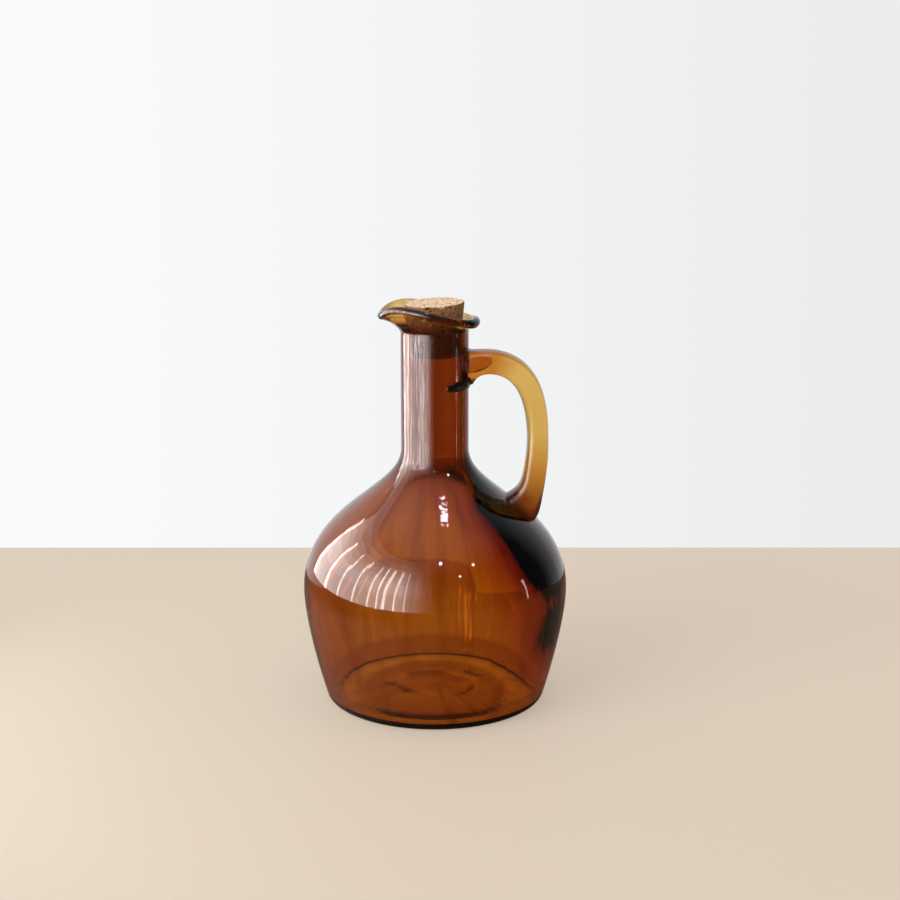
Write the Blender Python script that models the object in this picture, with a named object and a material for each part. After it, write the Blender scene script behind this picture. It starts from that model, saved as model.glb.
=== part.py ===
"""Antique blown glass bottle: a squat body with a pouring lip, a pulled handle and a cork.

Metres, +Z up. The bottle's axis is the Z axis, its foot stands on z = 0, the handle is
towards +X and the pouring lip towards -X. Each real piece is one named object.
"""
import math

import bpy
import numpy as np
from mathutils import Vector

# ---------------------------------------------------------------- sizes, in metres
FOOT_RADIUS = 0.05293            # where the rounded heel meets the side
HEEL_ROUNDING = 0.00343
SIDE_LEAN = math.radians(17.06)  # the side leaves the heel leaning out this far
BODY_HEIGHT = 0.12363            # floor to the bottom of the straight neck
BELLY_RADIUS = 0.0634
BELLY_LEVEL = 0.4438             # share of the body's height
SHOULDER_RADIUS = 0.03584        # where the shoulder turns from rounded to hollow
SHOULDER_LEVEL = 0.7988          # share of the body's height
SHOULDER_SLOPE = math.radians(43.15)
NECK_RADIUS = 0.0161
NECK_LENGTH = 0.05737            # bottom of the neck to the root of the lip

HEEL_WALL = 0.0044
BELLY_WALL = 0.0030
SHOULDER_WALL = 0.0042
NECK_WALL = 0.0035
FLOOR_WALL = 0.0045
KICK_HEIGHT = 0.0045             # the underside is pushed up this far at its centre
FOOT_RING_WIDTH = 0.0125         # flat ring the bottle stands on

LIP_SPREAD = 0.0029              # centre of the rim roll outside the neck's surface
LIP_RISE = 0.0029                # its height over the lip's root, on the handle's side
LIP_ROLL = 0.0019                # radius of the rim roll
LIP_ROLL_EXTRA = 0.0004          # the roll is this much fatter on the handle's side
WING_RISE = 0.0075               # the rim climbs this far towards the pouring side
SPOUT_REACH = 0.0059             # the pouring lip runs out this much further
SPOUT_DIP = 0.0046               # and its tip is pressed down this far
SPOUT_SPREAD = math.radians(46)
DIP_SPREAD = math.radians(24)
THROAT_FLARE = 0.0005            # the bore opens this much from below the cork to the lip

CORK_CLEARANCE = 0.0003
CORK_STAND = 0.0121              # how far the cork stands over the lip's root
CORK_SINK = 0.0128               # and how far it goes down the neck
CORK_TAPER = 0.106               # widening for each metre of height, over the throat
CORK_TOP_TILT = math.radians(2.9)
CORK_EDGE = 0.0005

HANDLE_GAP = 0.0003
HANDLE_DROP = 0.0170             # top of the handle's middle line under the lip's root
HANDLE_REACH = 0.03295           # its middle line's furthest distance from the neck
HANDLE_BEND_LEVEL = 0.0542       # that point's depth under the lip's root
HANDLE_FOOT_LEVEL = 0.752        # where it lands on the shoulder, share of body height
HANDLE_RISE_ANGLE = math.radians(11.4)
HANDLE_FOOT_ANGLE = math.radians(28.5)
HANDLE_THICKNESS = 0.0106
HANDLE_WIDTH = 0.0132
TOP_PAD_OUT = 0.0026             # spread of the glass where the handle meets the neck
TOP_PAD_IN = 0.0036
TOP_PAD_WIDE = 0.0026
FOOT_PAD_OUT = 0.0008            # and where it meets the shoulder
FOOT_PAD_IN = 0.0068
FOOT_PAD_WIDE = 0.0034

AROUND = 56                      # facets around the bottle and the cork
LIP_ROOT = BODY_HEIGHT + NECK_LENGTH
BORE_RADIUS = NECK_RADIUS - NECK_WALL
THROAT_RADIUS = BORE_RADIUS + THROAT_FLARE


# ---------------------------------------------------------------- helpers
def bezier(points, steps):
    """Points and unit directions along a cubic curve with four control points."""
    p0, p1, p2, p3 = [np.array(p, float) for p in points]
    t = np.linspace(0.0, 1.0, steps + 1)[:, None]
    u = 1.0 - t
    curve = u**3 * p0 + 3 * u * u * t * p1 + 3 * u * t * t * p2 + t**3 * p3
    slope = u * u * (p1 - p0) + 2 * u * t * (p2 - p1) + t * t * (p3 - p2)
    return curve, slope / np.linalg.norm(slope, axis=1)[:, None]


def smooth_step(x):
    """0 below 0, 1 above 1, and an S-shaped rise between."""
    x = np.clip(x, 0.0, 1.0)
    return x * x * (3.0 - 2.0 * x)


def make_object(name, verts, faces, material):
    mesh = bpy.data.meshes.new(name)
    mesh.from_pydata([tuple(v) for v in verts], [], faces)
    mesh.validate()
    obj = bpy.data.objects.new(name, mesh)
    bpy.context.scene.collection.objects.link(obj)
    if material is not None:
        mesh.materials.append(material)
    return obj


def make_material(name, color, roughness):
    material = bpy.data.materials.new(name)
    material.use_nodes = True
    shader = material.node_tree.nodes["Principled BSDF"]
    shader.inputs["Base Color"].default_value = (*color, 1.0)
    shader.inputs["Roughness"].default_value = roughness
    shader.inputs["Metallic"].default_value = 0.0
    material.diffuse_color = (*color, 1.0)
    return material


def smooth_rounded(obj, angle):
    obj.data.shade_smooth()
    obj.data.set_sharp_from_angle(angle=angle)


def rings_between_poles(rings, first, last):
    """Verts and faces of a closed skin: a pole, rings of equal length, and a pole."""
    rows, around = rings.shape[:2]
    verts = [first] + [tuple(p) for row in rings for p in row] + [last]
    end = len(verts) - 1
    faces = []
    for j in range(around):
        k = (j + 1) % around
        faces.append((0, 1 + k, 1 + j))
        for i in range(rows - 1):
            a = 1 + i * around
            b = a + around
            faces.append((a + j, a + k, b + k, b + j))
        a = 1 + (rows - 1) * around
        faces.append((end, a + j, a + k))
    return verts, faces


def turned(profile, angles):
    """Rings of a profile of (radius, height) pairs; one row of the result per pair."""
    r = profile[:, 0][:, None]
    z = np.repeat(profile[:, 1][:, None], len(angles), axis=1)
    return np.stack([r * np.cos(angles), r * np.sin(angles), z], axis=2)


# ---------------------------------------------------------------- the bottle's outline
def outer_outline():
    """Outside of the glass from the foot ring up to the root of the lip, with directions."""
    heel_centre = np.array([FOOT_RADIUS - HEEL_ROUNDING * math.cos(SIDE_LEAN), HEEL_ROUNDING])
    turn = np.linspace(-math.pi / 2, -SIDE_LEAN, 4)
    heel = heel_centre + HEEL_ROUNDING * np.stack([np.cos(turn), np.sin(turn)], axis=1)
    heel_dir = np.stack([-np.sin(turn), np.cos(turn)], axis=1)

    foot = heel[-1]
    belly = np.array([BELLY_RADIUS, BODY_HEIGHT * BELLY_LEVEL])
    shoulder = np.array([SHOULDER_RADIUS, BODY_HEIGHT * SHOULDER_LEVEL])
    neck = np.array([NECK_RADIUS, BODY_HEIGHT])
    out = np.array([math.sin(SIDE_LEAN), math.cos(SIDE_LEAN)])
    down_slope = np.array([math.cos(SHOULDER_SLOPE), -math.sin(SHOULDER_SLOPE)])
    up = np.array([0.0, 1.0])
    lower = np.linalg.norm(belly - foot)
    upper = np.linalg.norm(shoulder - belly)
    hollow = np.linalg.norm(neck - shoulder)

    parts = [
        (heel, heel_dir),
        bezier([foot, foot + 0.254 * lower * out, belly - 0.278 * lower * up, belly], 8),
        bezier([belly, belly + 0.470 * upper * up,
                shoulder + 0.283 * upper * down_slope, shoulder], 9),
        bezier([shoulder, shoulder - 0.537 * hollow * down_slope,
                neck - 0.386 * hollow * up, neck], 8),
    ]
    neck_rows = neck + np.linspace(0.0, 1.0, 3)[:, None] * np.array([0.0, NECK_LENGTH - 0.004])
    parts.append((neck_rows, np.tile(up, (3, 1))))
    points = np.vstack([parts[0][0]] + [p[0][1:] for p in parts[1:]])
    directions = np.vstack([parts[0][1]] + [p[1][1:] for p in parts[1:]])
    return points, directions


def outward(directions):
    return np.stack([directions[:, 1], -directions[:, 0]], axis=1)


def radius_at(height):
    points, _ = outer_outline()
    return float(np.interp(height, points[:, 1], points[:, 0]))


def wall_at(height):
    levels = [0.0, 0.16 * BODY_HEIGHT, BELLY_LEVEL * BODY_HEIGHT,
              SHOULDER_LEVEL * BODY_HEIGHT, BODY_HEIGHT]
    return np.interp(height, levels,
                     [HEEL_WALL, HEEL_WALL, BELLY_WALL, SHOULDER_WALL, NECK_WALL])


def kick(radius, edge):
    """Height of the pushed-up underside, zero from the given radius outwards."""
    inside = np.clip(radius / edge, 0.0, 1.0)
    return KICK_HEIGHT * 0.5 * (1.0 + np.cos(math.pi * inside))


# ---------------------------------------------------------------- glass bottle
def lip_rows(angle):
    """Outside, rim roll and inside of the lip at one angle around the axis.

    The rim climbs in an S from the handle's side to the pouring side, then runs out and
    dips at the tip, so the lip is a round funnel pinched into a spout.
    """
    turn = abs(math.remainder(angle, 2 * math.pi))
    to_tip = math.pi - turn
    reach = math.exp(-(to_tip / SPOUT_SPREAD) ** 2)
    roll = LIP_ROLL + LIP_ROLL_EXTRA * math.exp(-(turn / math.radians(50)) ** 2)
    rise = WING_RISE * float(smooth_step((turn - math.radians(15)) / math.radians(125)))
    dip = SPOUT_DIP * math.exp(-(to_tip / DIP_SPREAD) ** 2)
    centre = np.array([NECK_RADIUS + LIP_SPREAD + SPOUT_REACH * reach,
                       LIP_ROOT + LIP_RISE + rise - dip])
    middle = np.array([NECK_RADIUS - NECK_WALL / 2, LIP_ROOT])
    along = (centre - middle) / np.linalg.norm(centre - middle)
    under = np.array([along[1], -along[0]])
    span = np.linalg.norm(centre - middle)

    low = np.array([NECK_RADIUS, LIP_ROOT - 0.004])
    start = centre + roll * under
    outside, _ = bezier([low, low + (0.0, 0.0035), start - 0.45 * span * along, start], 4)
    sweep = np.linspace(0.0, math.pi, 6)[:, None]
    rim = centre + roll * (np.cos(sweep) * under + np.sin(sweep) * along)
    throat = np.array([THROAT_RADIUS, LIP_ROOT - 0.001])
    stop = centre - roll * under
    inside, _ = bezier([stop, stop - 0.4 * span * along, throat + (0.0, 0.0025), throat], 4)
    return np.vstack([outside[1:], rim[1:-1], inside])


def bottle_grid():
    points, directions = outer_outline()
    normals = outward(directions)
    contact = points[0, 0]
    kick_edge = contact - FOOT_RING_WIDTH

    under_r = kick_edge * np.array([0.3, 0.55, 0.78, 1.0])
    under = np.stack([under_r, kick(under_r, kick_edge)], axis=1)

    keep = points[:, 1] > 0.115 * BODY_HEIGHT
    inner = points[keep] - normals[keep] * wall_at(points[keep, 1])[:, None]
    inner_dir = directions[keep]
    inner = inner[::-1]
    side_foot = inner[-1]
    side_dir = inner_dir[0]
    floor_r = 0.72 * contact
    floor_edge = np.array([floor_r, kick(floor_r, kick_edge) + FLOOR_WALL])
    size = np.linalg.norm(side_foot - floor_edge)
    corner, _ = bezier([side_foot, side_foot - 0.45 * size * side_dir,
                        floor_edge + (0.45 * size, 0.0), floor_edge], 5)
    floor_rows = floor_r * np.array([0.72, 0.48, 0.24])
    floor = np.stack([floor_rows, kick(floor_rows, kick_edge) + FLOOR_WALL], axis=1)

    cork_foot = np.array([[BORE_RADIUS, LIP_ROOT - CORK_SINK - 0.001]])
    body_inner = inner[inner[:, 1] < LIP_ROOT - CORK_SINK - 0.003]
    angles = np.arange(AROUND) * 2 * math.pi / AROUND
    columns = []
    for angle in angles:
        columns.append(np.vstack([under, points, lip_rows(angle), cork_foot,
                                  body_inner, corner[1:], floor]))
    columns = np.array(columns)
    r = columns[:, :, 0].T
    z = columns[:, :, 1].T
    rings = np.stack([r * np.cos(angles), r * np.sin(angles), z], axis=2)
    return rings, KICK_HEIGHT, KICK_HEIGHT + FLOOR_WALL


def build_bottle(material):
    rings, under_centre, floor_centre = bottle_grid()
    verts, faces = rings_between_poles(rings, (0, 0, under_centre), (0, 0, floor_centre))
    obj = make_object("glass_bottle", verts, faces, material)
    smooth_rounded(obj, math.radians(35))
    return obj


# ---------------------------------------------------------------- handle
def handle_middle_line():
    """Middle line of the handle in the X-Z plane, run on into the neck and the shoulder."""
    top = np.array([NECK_RADIUS - 0.0016, LIP_ROOT - HANDLE_DROP])
    rise = np.array([math.cos(HANDLE_RISE_ANGLE), math.sin(HANDLE_RISE_ANGLE)])
    bend = np.array([NECK_RADIUS + HANDLE_REACH, LIP_ROOT - HANDLE_BEND_LEVEL])
    foot_z = BODY_HEIGHT * HANDLE_FOOT_LEVEL
    foot = np.array([radius_at(foot_z), foot_z])
    sink = np.array([-math.sin(HANDLE_FOOT_ANGLE), -math.cos(HANDLE_FOOT_ANGLE)])
    drop = bend[1] - foot[1]
    climb = top[1] - bend[1]

    lead, lead_dir = bezier([top - 0.006 * rise, top - 0.004 * rise, top - 0.002 * rise, top], 2)
    arch, arch_dir = bezier([top, top + 0.67 * climb * rise,
                             bend + (0.0, 0.73 * climb), bend], 16)
    leg, leg_dir = bezier([bend, bend - (0.0, 0.41 * drop), foot - 0.16 * drop * sink, foot], 9)
    tail, tail_dir = bezier([foot, foot + 0.003 * sink, foot + 0.006 * sink,
                             foot + 0.009 * sink], 2)
    line = np.vstack([lead, arch[1:], leg[1:], tail[1:]])
    dirs = np.vstack([lead_dir, arch_dir[1:], leg_dir[1:], tail_dir[1:]])
    return line, dirs, len(lead) - 1, len(line) - len(tail)


def build_handle(material):
    line, dirs, first, last = handle_middle_line()
    steps = np.linalg.norm(np.diff(line, axis=0), axis=1)
    travel = np.concatenate([[0.0], np.cumsum(steps)])
    from_neck = np.maximum(travel - travel[first] - 0.0016, 0.0)
    from_foot = np.maximum(travel[last] - travel, 0.0)
    share = (travel - travel[first]) / (travel[last] - travel[first])

    half = 0.5 * HANDLE_THICKNESS * np.interp(share, [0, 0.35, 0.62, 0.85, 1],
                                              [1.06, 1.04, 0.965, 1.07, 1.12])
    wide = 0.5 * HANDLE_WIDTH * np.interp(share, [0, 0.35, 0.62, 1], [1.0, 0.96, 0.98, 1.08])
    near_neck = np.exp(-(from_neck / 0.0044) ** 2)
    near_foot = np.exp(-(from_foot / 0.0075) ** 2)
    out = half + TOP_PAD_OUT * near_neck + FOOT_PAD_OUT * near_foot
    inn = half + TOP_PAD_IN * near_neck + FOOT_PAD_IN * near_foot
    wide = wide + TOP_PAD_WIDE * near_neck + FOOT_PAD_WIDE * near_foot

    turn = np.arange(24) * 2 * math.pi / 24
    c = np.sign(np.cos(turn)) * np.abs(np.cos(turn)) ** 0.62
    s = np.sign(np.sin(turn)) * np.abs(np.sin(turn)) ** 0.62
    across = np.where(c[None, :] > 0, out[:, None], inn[:, None]) * c
    normal = np.stack([-dirs[:, 1], dirs[:, 0]], axis=1)
    x = line[:, 0][:, None] + normal[:, 0][:, None] * across
    z = line[:, 1][:, None] + normal[:, 1][:, None] * across
    y = wide[:, None] * s
    rings = np.stack([x, y, z], axis=2)

    start = (float(line[0, 0]), 0.0, float(line[0, 1]))
    stop = (float(line[-1, 0]), 0.0, float(line[-1, 1]))
    verts, faces = rings_between_poles(rings, start, stop)
    obj = make_object("handle", verts, faces, material)

    cutter = bottle_cutter()
    cut = obj.modifiers.new("follow the glass", "BOOLEAN")
    cut.operation = "DIFFERENCE"
    cut.solver = "EXACT"
    cut.object = cutter
    smooth_rounded(obj, math.radians(35))
    return obj


def bottle_cutter():
    """The bottle's outside as a filled solid, a small gap larger, to shape the handle's ends."""
    points, directions = outer_outline()
    profile = points + HANDLE_GAP * outward(directions)
    profile = profile[profile[:, 1] > 0.3 * BODY_HEIGHT]
    angles = np.arange(AROUND) * 2 * math.pi / AROUND
    rings = turned(profile, angles)
    verts, faces = rings_between_poles(rings, (0, 0, float(profile[0, 1])),
                                       (0, 0, float(profile[-1, 1])))
    obj = make_object("handle_end_cutter", verts, faces, None)
    obj.hide_render = True
    obj.display_type = "WIRE"
    return obj


# ---------------------------------------------------------------- cork stopper
def build_cork(material):
    """Tapered cork: squeezed to the bore in the neck, wider over it, its top cut askew."""
    bottom = -CORK_SINK
    bottom_r = BORE_RADIUS - CORK_CLEARANCE
    throat_r = THROAT_RADIUS - CORK_CLEARANCE
    top = CORK_STAND
    top_r = throat_r + CORK_TAPER * CORK_STAND
    profile = np.array([
        [bottom_r * 0.5, bottom],
        [bottom_r - CORK_EDGE, bottom],
        [bottom_r, bottom + CORK_EDGE],
        [0.5 * (bottom_r + throat_r), 0.5 * bottom],
        [throat_r, 0.0],
        [0.5 * (throat_r + top_r), 0.5 * top],
        [top_r, top - CORK_EDGE],
        [top_r - CORK_EDGE, top],
        [top_r * 0.5, top],
    ])
    angles = np.arange(AROUND) * 2 * math.pi / AROUND
    rings = turned(profile, angles)
    lift = np.clip(profile[:, 1] / top, 0.0, 1.0)[:, None]
    rings[:, :, 2] += lift * math.tan(CORK_TOP_TILT) * rings[:, :, 0]
    verts, faces = rings_between_poles(rings, (0, 0, bottom), (0, 0, top))
    obj = make_object("cork_stopper", verts, faces, material)
    obj.location = Vector((0.0, 0.0, LIP_ROOT))
    smooth_rounded(obj, math.radians(35))
    return obj


# ---------------------------------------------------------------- build
for old in list(bpy.data.objects):
    bpy.data.objects.remove(old, do_unlink=True)

amber = make_material("amber_glass", (0.300, 0.085, 0.016), 0.05)
honey = make_material("honey_glass", (0.560, 0.320, 0.095), 0.06)
cork = make_material("natural_cork", (0.620, 0.430, 0.245), 0.85)

build_bottle(amber)
build_handle(honey)
build_cork(cork)
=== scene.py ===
import math

import bpy
import numpy as np
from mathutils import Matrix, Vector


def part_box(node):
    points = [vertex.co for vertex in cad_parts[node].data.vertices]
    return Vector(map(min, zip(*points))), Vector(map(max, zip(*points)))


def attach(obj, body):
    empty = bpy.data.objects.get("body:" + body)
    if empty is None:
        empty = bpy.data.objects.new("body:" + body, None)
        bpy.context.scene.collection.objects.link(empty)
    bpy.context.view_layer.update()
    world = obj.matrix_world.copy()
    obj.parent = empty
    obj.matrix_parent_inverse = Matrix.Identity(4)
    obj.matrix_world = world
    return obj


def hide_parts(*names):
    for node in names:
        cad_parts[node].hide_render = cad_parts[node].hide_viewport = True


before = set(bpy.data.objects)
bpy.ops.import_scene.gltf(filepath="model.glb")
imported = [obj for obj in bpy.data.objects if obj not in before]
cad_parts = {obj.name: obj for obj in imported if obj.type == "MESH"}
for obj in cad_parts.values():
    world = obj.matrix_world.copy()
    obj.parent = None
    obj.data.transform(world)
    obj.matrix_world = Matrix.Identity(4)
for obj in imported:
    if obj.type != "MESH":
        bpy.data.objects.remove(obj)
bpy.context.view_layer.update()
scene = bpy.context.scene
scene.view_settings.view_transform = "Standard"

# ---------------------------------------------------------------- view, table and light
# The bottle stands on a plain pale table top that ends a hand's width behind it, in front of
# a pale wall. Daylight comes from tall window lights at the left front; the rest of the
# room in front is dim, which keeps the glass deep and clear.
EYE_DISTANCE = 0.8719
EYE_HEIGHT = 0.3360
EYE_SIDE = 0.0072
EYE_DOWN = math.radians(13.80)
LENS = 75.34

camera = bpy.data.objects.new("eye", bpy.data.cameras.new("eye"))
camera.data.lens = LENS
camera.data.sensor_width = 36.0
camera.location = (EYE_SIDE, -EYE_DISTANCE, EYE_HEIGHT)
camera.rotation_euler = (math.pi / 2 - EYE_DOWN, 0.0, 0.0)
scene.collection.objects.link(camera)
scene.camera = camera


def mesh_object(name, points, faces, smooth=True):
    """An object at the origin from an array of points and lists of face corners."""
    mesh = bpy.data.meshes.new(name)
    mesh.from_pydata(points.tolist(), [], faces)
    mesh.validate()
    if smooth:
        mesh.shade_smooth()
    obj = bpy.data.objects.new(name, mesh)
    scene.collection.objects.link(obj)
    return obj


def new_material(name):
    """An empty node material, its nodes, a function that links, and its output."""
    material = bpy.data.materials.new(name)
    material.use_nodes = True
    tree = material.node_tree
    tree.nodes.clear()
    output = tree.nodes.new("ShaderNodeOutputMaterial")
    return material, tree.nodes, tree.links.new, output


TABLE_BACK = 0.244
TABLE_FRONT = -2.2
TABLE_SIDE = 2.0
TABLE_GAP = 0.0002
TABLE_ROUGHNESS = 0.6
TABLE_COLOR = (0.760, 0.630, 0.500, 1.0)
TABLE_LIT = (0.770, 0.650, 0.530, 1.0)
TABLE_IN_GLOSS = (0.200, 0.110, 0.060, 1.0)
LIT_SHARE = 0.55
LIT_SHARE_THROUGH_GLASS = 0.80

corners = np.array([[-TABLE_SIDE, TABLE_FRONT, -TABLE_GAP],
                    [TABLE_SIDE, TABLE_FRONT, -TABLE_GAP],
                    [TABLE_SIDE, TABLE_BACK, -TABLE_GAP],
                    [-TABLE_SIDE, TABLE_BACK, -TABLE_GAP]])
table = mesh_object("table_top", corners, [(0, 1, 2, 3)], smooth=False)
material, nodes, link, output = new_material("pale_table")
shader = nodes.new("ShaderNodeBsdfPrincipled")
shader.inputs["Roughness"].default_value = TABLE_ROUGHNESS
path = nodes.new("ShaderNodeLightPath")
seen = nodes.new("ShaderNodeMix")
seen.data_type = "RGBA"
seen.inputs["A"].default_value = TABLE_COLOR
seen.inputs["B"].default_value = TABLE_IN_GLOSS
link(path.outputs["Is Glossy Ray"], seen.inputs["Factor"])
link(seen.outputs["Result"], shader.inputs["Base Color"])
lit = nodes.new("ShaderNodeEmission")
lit.inputs["Color"].default_value = TABLE_LIT
straight = nodes.new("ShaderNodeMath")
straight.operation = "MULTIPLY"
straight.inputs[1].default_value = LIT_SHARE
link(path.outputs["Is Camera Ray"], straight.inputs[0])
share = nodes.new("ShaderNodeMath")
share.operation = "MULTIPLY_ADD"
share.inputs[1].default_value = LIT_SHARE_THROUGH_GLASS
link(path.outputs["Is Transmission Ray"], share.inputs[0])
link(straight.outputs[0], share.inputs[2])
both = nodes.new("ShaderNodeMixShader")
link(share.outputs[0], both.inputs[0])
link(shader.outputs["BSDF"], both.inputs[1])
link(lit.outputs["Emission"], both.inputs[2])
link(both.outputs["Shader"], output.inputs["Surface"])
table.data.materials.append(material)

# The wall is the world's own light. Seen straight or through glass it is pale, a little less so
# towards the right. Gloss sees the same wall behind the bottle, a dim room in front, and a
# ceiling that is lighter on the left. Matt surfaces take one even fill.
WALL_LEFT = (0.950, 0.960, 0.975, 1.0)
WALL_RIGHT = (0.835, 0.850, 0.845, 1.0)
WALL_SPREAD = 0.20
WALL_IN_GLOSS = (0.905, 0.915, 0.935, 1.0)
ROOM_FRONT = (0.050, 0.050, 0.055, 1.0)
ROOM_SKEW = -0.4
ROOM_DEPTH = 0.9
ROOM_FILL = (0.620, 0.620, 0.620, 1.0)
CEILING_STARTS = 0.66
CEILING_LEFT = 0.75
CEILING_RIGHT = 0.40
CEILING_LEFT_END = -0.5
CEILING_RIGHT_END = 0.4

world = bpy.data.worlds.new("room")
scene.world = world
world.use_nodes = True
nodes = world.node_tree.nodes
link = world.node_tree.links.new
nodes.clear()
output = nodes.new("ShaderNodeOutputWorld")
toward = nodes.new("ShaderNodeTexCoord")
split = nodes.new("ShaderNodeSeparateXYZ")
link(toward.outputs["Generated"], split.inputs[0])
lean = nodes.new("ShaderNodeMath")
lean.operation = "MULTIPLY_ADD"
lean.inputs[1].default_value = ROOM_SKEW
link(split.outputs["X"], lean.inputs[0])
link(split.outputs["Y"], lean.inputs[2])
behind = nodes.new("ShaderNodeMapRange")
behind.inputs["From Min"].default_value = 0.0
behind.inputs["From Max"].default_value = ROOM_DEPTH
link(lean.outputs[0], behind.inputs["Value"])
around = nodes.new("ShaderNodeMix")
around.data_type = "RGBA"
around.inputs["A"].default_value = ROOM_FRONT
around.inputs["B"].default_value = WALL_IN_GLOSS
link(behind.outputs["Result"], around.inputs["Factor"])
path = nodes.new("ShaderNodeLightPath")
mirrored = nodes.new("ShaderNodeMath")
mirrored.operation = "SUBTRACT"
mirrored.use_clamp = True
link(path.outputs["Is Glossy Ray"], mirrored.inputs[0])
link(path.outputs["Is Transmission Ray"], mirrored.inputs[1])
overhead = nodes.new("ShaderNodeMapRange")
overhead.interpolation_type = "SMOOTHSTEP"
overhead.inputs["From Min"].default_value = CEILING_STARTS
overhead.inputs["From Max"].default_value = 1.0
link(split.outputs["Z"], overhead.inputs["Value"])
leftward = nodes.new("ShaderNodeMapRange")
leftward.interpolation_type = "SMOOTHSTEP"
leftward.inputs["From Min"].default_value = CEILING_RIGHT_END
leftward.inputs["From Max"].default_value = CEILING_LEFT_END
leftward.inputs["To Min"].default_value = CEILING_RIGHT
leftward.inputs["To Max"].default_value = CEILING_LEFT
link(split.outputs["X"], leftward.inputs["Value"])
ceiling = nodes.new("ShaderNodeMath")
ceiling.operation = "MULTIPLY"
link(overhead.outputs["Result"], ceiling.inputs[0])
link(leftward.outputs["Result"], ceiling.inputs[1])
ceiling_seen = nodes.new("ShaderNodeMath")
ceiling_seen.operation = "MULTIPLY"
link(ceiling.outputs[0], ceiling_seen.inputs[0])
link(mirrored.outputs[0], ceiling_seen.inputs[1])
with_ceiling = nodes.new("ShaderNodeVectorMath")
with_ceiling.operation = "ADD"
link(around.outputs["Result"], with_ceiling.inputs[0])
link(ceiling_seen.outputs[0], with_ceiling.inputs[1])
room = nodes.new("ShaderNodeMix")
room.data_type = "RGBA"
across = nodes.new("ShaderNodeMapRange")
across.inputs["From Min"].default_value = -WALL_SPREAD
across.inputs["From Max"].default_value = WALL_SPREAD
link(split.outputs["X"], across.inputs["Value"])
wall = nodes.new("ShaderNodeMix")
wall.data_type = "RGBA"
wall.inputs["A"].default_value = WALL_LEFT
wall.inputs["B"].default_value = WALL_RIGHT
link(across.outputs["Result"], wall.inputs["Factor"])
link(wall.outputs["Result"], room.inputs["A"])
link(path.outputs["Is Glossy Ray"], room.inputs["Factor"])
link(with_ceiling.outputs["Vector"], room.inputs["B"])
fill = nodes.new("ShaderNodeMix")
fill.data_type = "RGBA"
link(path.outputs["Is Diffuse Ray"], fill.inputs["Factor"])
link(room.outputs["Result"], fill.inputs["A"])
fill.inputs["B"].default_value = ROOM_FILL
background = nodes.new("ShaderNodeBackground")
link(fill.outputs["Result"], background.inputs["Color"])
link(background.outputs["Background"], output.inputs["Surface"])


def window_light(name, bearing, width, low, high, distance, radiance, color=(1.0, 1.0, 1.0)):
    """An upright soft panel facing the bottle; bearing is degrees round from straight in
    front, positive to the right, and radiance is how bright its face is."""
    data = bpy.data.lights.new(name, "AREA")
    data.shape = "RECTANGLE"
    data.size = width
    data.size_y = high - low
    data.energy = radiance * math.pi * width * (high - low)
    data.color = color
    panel = bpy.data.objects.new(name, data)
    turn = math.radians(bearing)
    middle = 0.5 * (low + high)
    panel.location = (distance * math.sin(turn), -distance * math.cos(turn), middle)
    aim = Vector((0.0, 0.0, middle)) - panel.location
    panel.rotation_euler = aim.to_track_quat("-Z", "Y").to_euler()
    panel.visible_camera = False
    scene.collection.objects.link(panel)
    return panel


# The window's bright bars and its softer panes between them show only in gloss and through
# glass. Pane after pane fades towards the front, and upwards in bands. Each bar is a bearing,
# a width and a radiance; each band is its foot, its head and a radiance.
BAR_DISTANCE = 0.25
SILL = 0.052
BAR_HEAD = 0.27
BARS = ((-121, 0.014, 9.0), (-99, 0.012, 11.0), (-82, 0.010, 9.0), (-66, 0.010, 10.0),
        (-53, 0.009, 10.0), (-45, 0.007, 12.0), (-39, 0.010, 11.0), (-31, 0.008, 9.0),
        (-23, 0.006, 5.0))
for number, (bearing, width, radiance) in enumerate(BARS):
    bar = window_light(f"bar_{number}", bearing, width, SILL, BAR_HEAD, BAR_DISTANCE, radiance)
    bar.visible_diffuse = False
PANE_DISTANCE = 0.27
PANE_COLOR = (0.97, 0.98, 0.95)
WIDE_PANE = 0.072
NARROW_PANE = 0.0192
FADING = (1.0, 0.8, 0.6, 0.42, 0.27, 0.15, 0.07)
BANDS = ((SILL, 0.13, 4.9), (0.13, 0.20, 6.2), (0.20, 0.235, 4.8), (0.235, 0.27, 3.6),
         (0.27, 0.31, 2.5), (0.31, 0.36, 1.5), (0.36, 0.42, 0.7))
panes = [(bearing, WIDE_PANE, 1.0) for bearing in range(-113, -30, 15)]
panes += [(-28.5 + 4.0 * step, NARROW_PANE, part) for step, part in enumerate(FADING)]
for number, (bearing, width, part) in enumerate(panes):
    for band, (foot, head, radiance) in enumerate(BANDS):
        pane = window_light(f"pane_{number}_{band}", bearing, width, foot, head,
                            PANE_DISTANCE, radiance * part, PANE_COLOR)
        pane.visible_diffuse = False
        pane.visible_transmission = False
# A thin bright gap at the far right, and a large soft box that lights the table and the cork.
slit = window_light("slit", 76, 0.007, 0.05, 0.13, BAR_DISTANCE, 6.0)
slit.visible_diffuse = False
softbox = window_light("softbox", -50, 1.8, 0.5, 2.0, 2.2, 4.6)
softbox.visible_glossy = False
softbox.visible_transmission = False


def ceiling_light(name, place, size, radiance, color):
    """A flat square lamp under the ceiling, facing the middle of the bottle."""
    data = bpy.data.lights.new(name, "AREA")
    data.size = size
    data.energy = radiance * math.pi * size * size
    data.color = color
    light = bpy.data.objects.new(name, data)
    light.location = place
    aim = Vector((0.0, 0.0, 0.1)) - light.location
    light.rotation_euler = aim.to_track_quat("-Z", "Y").to_euler()
    light.visible_camera = False
    light.visible_transmission = False
    scene.collection.objects.link(light)
    return light


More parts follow.
